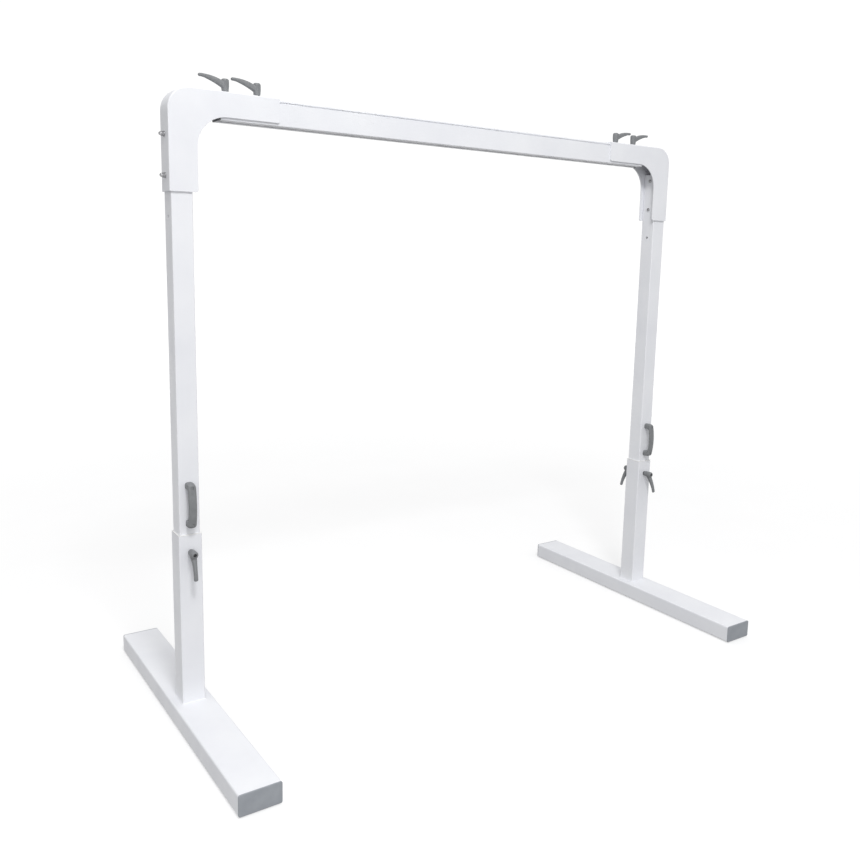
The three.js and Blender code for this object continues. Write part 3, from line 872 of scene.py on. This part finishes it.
def build_corner(side, meshes):
    """A housing with its bolts and nuts; the right one is the left one turned half round."""
    mast_centre, mast_size = centre_and_size(f"mast_{side}")
    turned = at(x=mast_centre.x) @ Matrix.Rotation(0.0 if side == "left" else math.pi, 4, "Z")
    stand_for(f"corner_housing_{side}", meshes["housing"], turned)
    for end in ("upper", "lower"):
        height = centre_and_size(f"dome_nut_{end}_{side}")[0].z
        inner = at(mast_size.x / 2, 0, height) @ ALONG_X
        stand_for(f"cross_bolt_{end}_{side}", meshes["bolt"], turned @ inner)
        outer = at(-HOUSING["out"] - GAP, 0, height) @ Matrix.Rotation(-math.pi / 2, 4, "Y")
        stand_for(f"dome_nut_{end}_{side}", meshes["nut"], turned @ outer)


def build_corners():
    meshes = {"housing": housing_mesh(), "bolt": bolt_mesh(), "nut": dome_nut_mesh()}
    for side in SIDES:
        build_corner(side, meshes)


# --- crossbar -------------------------------------------------------------------------------------

RAIL = {
    "wall": 0.003,
    "lip": 0.004,
    "corner": 0.004,
    "slot": 0.020,
    "nut_slot": 0.011,
    "groove": 0.022,
    "groove_height": 0.008,
    "seam_depth": 0.003,
    "seam_height": 0.0035,
    "seam_below": 0.006,
    "slot_edge": 0.0012,
    "track_edge": 0.0015,
    "fine_edge": 0.0005,
    "chamber_edge": 0.001,
}


def rail_loops(width, height):
    """The rail's cut in (Y, Z) from its underside: the outside with the track, the clamp groove and the
    two side seams folded in, and two closed chambers."""
    wall, lip = RAIL["wall"], RAIL["lip"]
    half, slot, mouth = width / 2, RAIL["slot"] / 2, RAIL["nut_slot"] / 2
    groove = RAIL["groove"] / 2
    roof = height - wall
    floor = roof - RAIL["groove_height"]
    track = floor - wall
    seam_top = height - RAIL["seam_below"]
    seam_floor = half - RAIL["seam_depth"]
    seam_low = seam_top - RAIL["seam_height"]
    right = [(slot, 0.0), (half, 0.0), (half, seam_low), (seam_floor, seam_low), (seam_floor, seam_top),
             (half, seam_top), (half, height), (mouth, height), (mouth, roof), (groove, roof),
             (groove, floor)]
    left = [(-y, z) for y, z in right[::-1]]
    inside = [(-slot, lip), (-half + wall, lip), (-half + wall, track), (half - wall, track),
              (half - wall, lip), (slot, lip)]
    slot_edge, corner, fine = RAIL["slot_edge"], RAIL["corner"], [RAIL["fine_edge"]] * 4
    radii = [slot_edge, corner, *fine, corner, *fine]
    softness = radii + radii[::-1] + [slot_edge, *[RAIL["track_edge"]] * 4, slot_edge]
    loop = right + left + inside
    count = len(loop)
    outer = []
    for i, point in enumerate(loop):
        three = [loop[i - 1], point, loop[(i + 1) % count]]
        outer += softened(three, softness[i], closed=False, steps=4)[1:-1]
    chambers = []
    for sign in (-1, 1):
        near, far = sign * (groove + wall), sign * (seam_floor - wall)
        chamber = [(near, floor), (far, floor), (far, roof), (near, roof)]
        chambers.append(softened(chamber, RAIL["chamber_edge"]))
    return [outer, *chambers]


def build_rail():
    """The extruded crossbar, drawn up from its underside."""
    centre, size = centre_and_size("rail")
    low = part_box("rail")[0]
    mesh = made("rail", add_prism, rail_loops(size.y, size.z), -size.x / 2, size.x / 2)
    stand_for("rail", mesh, at(centre.x, centre.y, low.z))


def add_block(bm, low, high):
    """A box with rounded edges along Z and softened ends."""
    edge, corner = 0.0006, 0.0018
    width, depth = high[0] - low[0], high[1] - low[1]
    middle = Vector(((low[0] + high[0]) / 2, (low[1] + high[1]) / 2, 0))
    rings = []
    for inset, z in [(edge, low[2]), (0.0, low[2] + edge), (0.0, high[2] - edge), (edge, high[2])]:
        points = ring(width - 2 * inset, depth - 2 * inset, corner - inset, z, 3)
        rings.append([Vector(p) + middle for p in points])
    add_loft(bm, rings)


def build_rail_cap(side):
    """The plastic cap on the rail's end, with the rubbing block that stops the trolley."""
    node = f"rail_end_cap_{side}"
    centre, size = centre_and_size(node)
    plate, edge, overlap, lip_clear = 0.004, 0.0008, 0.0005, 0.003
    block_low = RAIL["lip"] + lip_clear
    block_high = size.z - 2 * RAIL["wall"] - RAIL["groove_height"] - GAP
    side_room = RAIL["wall"] + GAP
    bm = bmesh.new()
    rings = []
    for inset, x in [(0.0, -plate), (0.0, -edge), (edge * MIDWAY, -edge * MIDWAY), (edge, 0.0)]:
        points = rounded_rectangle(size.y - 2 * inset, size.z - 2 * inset, RAIL["corner"] - inset)
        rings.append([(x + size.x / 2, y, z) for y, z in points])
    add_loft(bm, rings)
    plate_mesh = mesh_from(bm, node)
    low = (-size.x / 2, -size.y / 2 + side_room, block_low - size.z / 2)
    high = (size.x / 2 - plate + overlap, size.y / 2 - side_room, block_high - size.z / 2)
    block = made("block", add_block, low, high)
    turn = Matrix.Rotation(0.0 if SIDES[side] > 0 else math.pi, 4, "Z")
    stand_for(node, combined(plate_mesh, [block], "UNION"), Matrix.Translation(centre) @ turn)


# --- clamp levers ---------------------------------------------------------------------------------

LEVER = {
    "reach": 0.084,
    "rise": 0.046,
    "hub_height": 0.043,
    "hub_radius": 0.012,
    "collar_height": 0.005,
    "tip_radius": 0.0048,
    "tip_half": 0.0068,
    "waist_half": 0.0065,
    "root_half": 0.0113,
}


def lever_arm():
    """The arm as paired points on its underside and its top, from inside the hub to the round tip. The
    side view is drawn with the arm along +Y, and turned to +X when the rings are placed."""
    tip = (LEVER["reach"] - LEVER["tip_radius"], LEVER["rise"])
    radius = LEVER["tip_radius"]
    root_low, root_high, neck = (0.0, 0.009), (0.0, 0.030), (0.058, 0.037)
    stations, waist_at = 30, 0.62
    under = [root_low] + bend(root_low, (0.027, 0.0265), neck, 14)
    under += bend(neck, (0.068, 0.0412), (tip[0], tip[1] - radius), 12)
    top = [root_high] + bend(root_high, (0.024, 0.051), (tip[0], tip[1] + radius), 26)
    under, top = evenly(under, stations), evenly(top, stations)
    halves = []
    for i in range(stations):
        share = i / (stations - 1)
        to_root = max(0.0, 1 - share / waist_at)
        to_tip = max(0.0, (share - waist_at) / (1 - waist_at))
        swell = (LEVER["root_half"] - LEVER["waist_half"]) * to_root**1.6
        flare = (LEVER["tip_half"] - LEVER["waist_half"]) * to_tip**1.3
        halves.append(LEVER["waist_half"] + swell + flare)
    for angle in (20, 40, 58, 74, 86):
        a = math.radians(angle)
        out, spread = radius * math.sin(a), radius * math.cos(a)
        under.append(Vector((tip[0] + out, tip[1] - spread)))
        top.append(Vector((tip[0] + out, tip[1] + spread)))
        halves.append(LEVER["tip_half"] * math.cos(a) ** 0.8)
    return under, top, halves


def lever_mesh():
    """The handle: a cast hub and arm melted together, then bored for the stud and its spring."""
    under, top, halves = lever_arm()
    squareness, voxel, smoothing_rounds = 2.5, 0.00055, 7
    rings = paired_rings(under, top, halves, squareness)
    arm = made("arm", add_loft, rings, matrix=Matrix.Rotation(-math.pi / 2, 4, "Z"))
    low, radius, height = LEVER["collar_height"] + GAP, LEVER["hub_radius"], LEVER["hub_height"]
    profile = [(0.0100, low), (0.0105, low + 0.0006), (0.0112, 0.014), (radius, 0.023), (radius, 0.0360),
               (0.0117, 0.0384), (0.0109, 0.0405), (0.0096, 0.0421), (0.0080, height)]
    hub = made("lever", add_lathe, profile, 64)
    body = fused(combined(hub, [arm], "UNION"), voxel, smoothing_rounds)
    boss_bore = pin(0.0074, 0.0, 0.020)
    core_bore = pin(0.0042, 0.0, 0.05)
    spring_bore = pin(0.006, 0.024, 0.06)
    rim = pin(0.02, -0.01, low)
    return combined(body, [boss_bore, core_bore, spring_bore, rim])


def stud_mesh(reach, name):
    """The threaded stud with its collar, its boss and the retaining screw seen in the hub's top."""
    thread, pitch, thread_depth, thread_chamfer = 0.005, 0.00125, 0.0006, 0.0012
    thread_start, thread_room = 0.0008, 0.0015
    collar, collar_edge, height = 0.009, 0.0008, LEVER["collar_height"]
    boss, boss_top, core = 0.0068, 0.0195, 0.0035
    screw_head, screw_low, screw_high, screw_edge = 0.0054, 0.036, 0.041, 0.0007
    socket, socket_floor, above = 0.004, 0.0385, 0.05
    profile = [(thread - thread_chamfer, -reach)]
    turns = int((reach - thread_room) / pitch)
    for k in range(turns):
        z = -reach + thread_start + k * pitch
        profile += [(thread - thread_depth, z), (thread, z + pitch * 0.5)]
    profile += [(thread, GAP), (collar - collar_edge, GAP), (collar, GAP + collar_edge)]
    profile += [(collar, height - 0.0012), (collar - collar_edge, height - 0.0003), (0.0076, height)]
    profile += [(boss, height), (boss, boss_top), (core, boss_top), (core, screw_low)]
    profile += [(screw_head, screw_low), (screw_head, screw_high - screw_edge)]
    profile.append((screw_head - screw_edge, screw_high))
    body = made(name, add_lathe, profile, 40)
    return combined(body, [hexagon(socket, socket_floor, above)])


# How far each mast lever leans from straight down at rest, in degrees
LEAN = {"front_left": 0, "front_right": 12, "rear_left": 11, "rear_right": -11}


def lever_places():
    """Each lever's name with its place and turn: its own screw axis is Z and its arm points to +X."""
    places = {}
    for side, sign in SIDES.items():
        for which in ("outer", "inner"):
            name = f"rail_lever_{which}_{side}"
            centre, _ = centre_and_size(f"{name}_stud")
            arm = Matrix.Rotation(math.pi if sign < 0 else 0.0, 4, "Z")
            places[name] = at(centre.x, centre.y, HOUSING["top"]) @ arm
        for end, way in ENDS.items():
            name = f"mast_lever_{end}_{side}"
            centre, _ = centre_and_size(f"{name}_stud")
            post_centre, post_size = centre_and_size(f"socket_post_{side}")
            lean = math.radians(LEAN[f"{end}_{side}"])
            face = post_centre.y + way * post_size.y / 2
            outwards = Matrix.Rotation(-way * math.pi / 2, 4, "X")
            swing = Matrix.Rotation(way * (math.pi / 2 - lean), 4, "Z")
            places[name] = at(centre.x, face, centre.z) @ outwards @ swing
    return places


def build_levers():
    handle = lever_mesh()
    rail_reach, mast_reach = 0.0154, 0.0042
    studs = {"rail": stud_mesh(rail_reach, "rail_stud"), "mast": stud_mesh(mast_reach, "mast_stud")}
    for name, place in lever_places().items():
        stand_for(name, handle, place)
        stand_for(f"{name}_stud", studs[name.split("_")[0]], place)


# --- the CAD nodes that stay ----------------------------------------------------------------------


def dress_hidden_parts():
    """The guide cups, handle screws and slot nuts inside the gantry keep their CAD shapes."""
    for name, node in frame["nodes"].items():
        if not node.hide_render:
            node.data.materials.clear()
            node.data.materials.append(LOOKS[SLOT_OF[name]])


# --- stage ----------------------------------------------------------------------------------------


def build_floor():
    """A pale floor that brightens into the white surroundings far from the gantry."""
    reach, near_share, fade_start, fade_end = 60, 0.45, 2.0, 8.0
    bm = bmesh.new()
    bmesh.ops.create_circle(bm, cap_ends=True, radius=reach, segments=64)
    floor = linked(mesh_from(bm, "floor"), "floor")
    material, tree, shader = new_material("floor", Roughness=0.9, Specular_IOR_Level=0.1)
    grain = ramp(tree, noise(tree, 3, 4), (0.93, 0.93, 0.935), (0.95, 0.95, 0.955))
    tree.links.new(grain, shader.inputs["Base Color"])
    place = add_node(tree, "ShaderNodeTexCoord").outputs["Object"]
    distance = add_node(tree, "ShaderNodeVectorMath", {0: place}, operation="LENGTH").outputs["Value"]
    far = between(tree, distance, near_share, 1.0, fade_start, fade_end)
    glow = add_node(tree, "ShaderNodeEmission", {"Color": (1, 1, 1, 1), "Strength": 1.12})
    blend = add_node(tree, "ShaderNodeMixShader", {0: far, 1: shader.outputs[0], 2: glow.outputs[0]})
    tree.links.new(blend.outputs[0], tree.nodes["Material Output"].inputs["Surface"])
    floor.data.materials.append(material)
    floor.visible_diffuse = False


def build_world():
    """White surroundings, seen brighter than they light, and dimmer from below."""
    world = bpy.data.worlds.new("studio")
    bpy.context.scene.world = world
    world.use_nodes = True
    tree = world.node_tree
    tree.nodes.clear()
    direction = add_node(tree, "ShaderNodeTexCoord").outputs["Generated"]
    up = add_node(tree, "ShaderNodeSeparateXYZ", {"Vector": direction}).outputs["Z"]
    glow_below, glow_above, seen_glow = 0.27, 0.77, 1.05
    glow = between(tree, up, glow_below, glow_above, -0.5, 0.5)
    seen = add_node(tree, "ShaderNodeLightPath").outputs["Is Camera Ray"]
    strength = between(tree, seen, glow, seen_glow, 0.0, 1.0)
    light = add_node(tree, "ShaderNodeBackground", {"Color": (1, 1, 1, 1), "Strength": strength})
    out = add_node(tree, "ShaderNodeOutputWorld")
    tree.links.new(light.outputs[0], out.inputs["Surface"])


def add_softbox(name, place, target, size, power):
    light = bpy.data.lights.new(name, "AREA")
    light.shape = "DISK"
    light.size = size
    light.energy = power
    lamp = bpy.data.objects.new(name, light)
    bpy.context.scene.collection.objects.link(lamp)
    lamp.location = place
    aim = Vector(target) - Vector(place)
    lamp.rotation_euler = aim.to_track_quat("-Z", "Y").to_euler()


def build_camera():
    """The photograph's viewing angle, with the small shift that its framing needs."""
    data = bpy.data.cameras.new("camera")
    data.sensor_width = 36.0
    data.lens = 36.25
    data.shift_x = -0.0167
    data.shift_y = -0.0428
    data.clip_end = 200
    camera = bpy.data.objects.new("camera", data)
    bpy.context.scene.collection.objects.link(camera)
    yaw, pitch, roll = (math.radians(a) for a in (-34.587, -9.024, 1.366))
    turn = Matrix.Rotation(yaw, 4, "Z") @ Matrix.Rotation(math.pi / 2 + pitch, 4, "X")
    camera.matrix_world = at(-1.887, -2.670, 1.535) @ turn @ Matrix.Rotation(roll, 4, "Z")
    bpy.context.scene.camera = camera


def build_stage():
    build_floor()
    build_world()
    middle = (0.0, 0.0, 1.0)
    add_softbox("key", (-1.4, -3.2, 5.2), middle, size=1.2, power=138)
    add_softbox("fill", (-2.2, -4.6, 1.3), middle, size=2.4, power=34)
    build_camera()
    bpy.context.scene.view_settings.view_transform = "Standard"


for base_side in SIDES:
    build_base(base_side)
build_masts()
build_corners()
build_rail()
for cap_side in SIDES:
    build_rail_cap(cap_side)
build_levers()
dress_hidden_parts()
build_stage()
